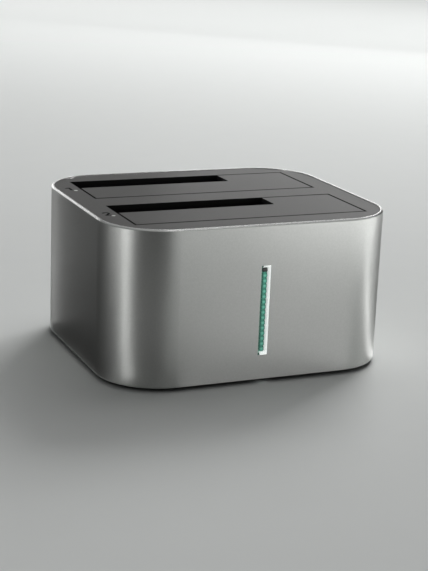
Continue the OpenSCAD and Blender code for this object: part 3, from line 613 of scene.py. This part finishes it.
floor_mesh.materials.append(floor_paper())


# Flags: grey, black and lit cards that lie round the dock, as a photographer sets them to shape the
# metal's tones. They show only in reflections, and leave the floor and its light as they are.
card_high = 1 * mm


def flag(name, tone, corners, glow=0.0):
    """Flat polygon at card_high over the floor, of one dull tone or with a glow of its own.

    Its corners are points (x, y) in millimetres.
    """
    mesh = bpy.data.meshes.new(name)
    outline = np.column_stack([np.array(corners) * mm, np.full(len(corners), card_high)])
    mesh.from_pydata(outline.tolist(), [], [tuple(range(len(corners)))])
    material = skinned(name, colour=(tone, tone, tone), roughness=0.9, grain=40, depth=0.0)
    shader = material.node_tree.nodes["Principled BSDF"]
    shader.inputs["Emission Color"].default_value = (1, 1, 1, 1)
    shader.inputs["Emission Strength"].default_value = glow
    mesh.materials.append(material)
    card = bpy.data.objects.new(name, mesh)
    bpy.context.scene.collection.objects.link(card)
    card.visible_camera = False
    card.visible_shadow = False
    card.visible_diffuse = False


flag("flag_near_left", tone=0.03,
     corners=[(-66, -40), (-66, 60), (-85, 150), (-160, 150), (-200, -40)])
flag("flag_far_left", tone=0.09,
     corners=[(-85, 150), (-110, 1150), (-1200, 1150), (-1200, -230), (-200, -40), (-160, 150)])
flag("flag_front", tone=0.01, glow=0.045,
     corners=[(-150, -95), (-160, -196), (-20, -240), (10, -300), (60, -1100), (-1200, -1100), (-1200, -520)])
flag("flag_corner", tone=0.42,
     corners=[(-62, -68), (-148, -100), (-158, -192), (-62, -224), (-48, -118), (-44, -66)])
flag("flag_right", tone=0.16,
     corners=[(66, -25), (300, 30), (300, 250), (66, 90)])
flag("card_left_near", tone=0.8, glow=0.68,
     corners=[(-68, -48), (-64, -58), (-110, -71), (-110, -53)])
flag("card_left_far", tone=0.8, glow=1.05,
     corners=[(-110, -53), (-110, -71), (-260, -112), (-260, -72)])
flag("card_right_near", tone=0.8, glow=0.9,
     corners=[(62, -35), (120, -40), (120, -59), (62, -47)])
flag("card_right_far", tone=0.8, glow=2.05,
     corners=[(120, -40), (175, -60), (228, -87), (300, -125),
              (300, -170), (228, -118), (175, -82), (120, -59)])
flag("card_front", tone=0.74, glow=0.16,
     corners=[(-36, -56), (40, -56), (110, -130), (110, -200), (30, -200)])
flag("card_back", tone=0.8, glow=0.9,
     corners=[(-60, 330), (160, 330), (260, 700), (-60, 700)])


# Lights: a key box behind to the right and a sheet overhead light everything, and two fills light dull
# surfaces alone. Low panels and strips round the dock show only as reflections in the metal. The room
# beyond them is dim, with a brighter ceiling that only glossy surfaces see and a pale backdrop.
def soft_box(name, place, aim, size, power, dull=False, gloss=True):
    """Rectangular area lamp at a place, facing a point; it lights dull surfaces, shows as gloss, or both."""
    lamp = bpy.data.lights.new(name, "AREA")
    lamp.shape = "RECTANGLE"
    lamp.size, lamp.size_y = size
    lamp.energy = power
    holder = bpy.data.objects.new(name, lamp)
    holder.location = place
    holder.rotation_euler = (Vector(aim) - Vector(place)).to_track_quat("-Z", "Y").to_euler()
    holder.visible_camera = False
    holder.visible_diffuse = dull
    holder.visible_glossy = gloss
    bpy.context.scene.collection.objects.link(holder)


soft_box("key_box", place=(0.9, 0.88, 1.0), aim=(0, 0, 0.03), size=(0.72, 0.72), power=7.0, dull=True)
soft_box("key_fill", place=(0.9, 0.88, 1.0), aim=(0, 0, 0.03), size=(0.72, 0.72), power=9.5,
         dull=True, gloss=False)
soft_box("front_fill", place=(-0.9, -1.1, 1.3), aim=(0, 0, 0), size=(1.0, 1.0), power=2.2,
         dull=True, gloss=False)
soft_box("overhead_sheet", place=(0.5, 0.4, 1.8), aim=(0, 0, 0), size=(1.4, 1.4), power=8.5, dull=True)
soft_box("left_strip", place=(-0.5, -0.13, 0.15), aim=(0, 0, 0.05), size=(0.09, 0.3), power=0.9)
soft_box("left_wash", place=(-0.5, 0.06, 0.12), aim=(0, 0, 0.05), size=(0.2, 0.24), power=0.35)
soft_box("back_strip", place=(-0.21, 0.92, 0.31), aim=(0, 0, 0.06), size=(0.5, 0.15), power=0.3)
soft_box("right_panel", place=(0.17, -0.2, 0.07), aim=(0.02, -0.05, 0.05), size=(0.2, 0.12), power=0.14)
soft_box("front_panel", place=(0.11, -0.5, 0.1), aim=(0, -0.05, 0.04), size=(0.2, 0.2), power=0.22)
soft_box("side_strip", place=(0.43, -0.1, 0.14), aim=(0, 0, 0.04), size=(0.03, 0.26), power=1.3)
soft_box("back_low", place=(0.18, 0.255, 0.11), aim=(0, 0, 0.067), size=(0.19, 0.06), power=0.075)
soft_box("corner_glow", place=(0, 0.6, 0.09), aim=(-0.05, 0.04, 0.067), size=(0.24, 0.14), power=0.13)
soft_box("cover_glow", place=(0.07, 0.6, 0.13), aim=(-0.05, 0.04, 0.067), size=(0.3, 0.16), power=0.1)
soft_box("left_end", place=(-0.069, 0.045, 0.035), aim=(-0.0635, 0, 0.035), size=(0.003, 0.07), power=0.00058)
room_colour = (0.97, 1.0, 0.985, 1)
room_level = 0.06
ceiling_level = 0.25
ceiling_from = 0.35
ceiling_full = 0.62
backdrop_level = 0.8
world = bpy.data.worlds.new("studio")
world.use_nodes = True
sky = world.node_tree
direction = node_in(sky, "ShaderNodeTexCoord").outputs["Generated"]
height = node_in(sky, "ShaderNodeSeparateXYZ", {0: direction}).outputs[2]
ceiling = ramp_in(sky, height, ceiling_from, ceiling_full, room_level, ceiling_level, "SMOOTHSTEP")
ray = node_in(sky, "ShaderNodeLightPath").outputs
mirrored = math_in(sky, "MAXIMUM", ray["Is Glossy Ray"], ray["Is Transmission Ray"])
room = value_mix(sky, mirrored, room_level, ceiling)
strength = value_mix(sky, ray["Is Camera Ray"], room, backdrop_level)
background = sky.nodes["Background"]
background.inputs["Color"].default_value = room_colour
sky.links.new(strength, background.inputs["Strength"])
bpy.context.scene.world = world
bpy.context.scene.view_settings.view_transform = "Standard"


# Camera: in front and to the left, looking slightly down, turned by the small roll that the view shows.
# It has no shift, so that the dock stays in the frame from every side.
frame_long_side = 571
focal_px = 1449.9
sensor_w = 36
yaw = math.radians(23.75)
pitch = math.radians(15.724)
roll = math.radians(2.296)
aim_high = 35 * mm
distance = 639.6 * mm
aside = 1.09 * mm
above = -7.89 * mm
forward = Vector((math.sin(yaw) * math.cos(pitch), math.cos(yaw) * math.cos(pitch), -math.sin(pitch)))
level_right = Vector((math.cos(yaw), -math.sin(yaw), 0))
level_up = level_right.cross(forward)
right = level_right * math.cos(roll) + level_up * math.sin(roll)
up = level_up * math.cos(roll) - level_right * math.sin(roll)
camera_data = bpy.data.cameras.new("camera")
camera_data.sensor_width = sensor_w
camera_data.lens = focal_px / frame_long_side * sensor_w
camera = bpy.data.objects.new("camera", camera_data)
place = Vector((0, 0, aim_high)) - distance * forward + aside * right + above * up
camera.matrix_world = Matrix.Translation(place) @ Matrix((right, up, -forward)).transposed().to_4x4()
bpy.context.scene.collection.objects.link(camera)
bpy.context.scene.camera = camera
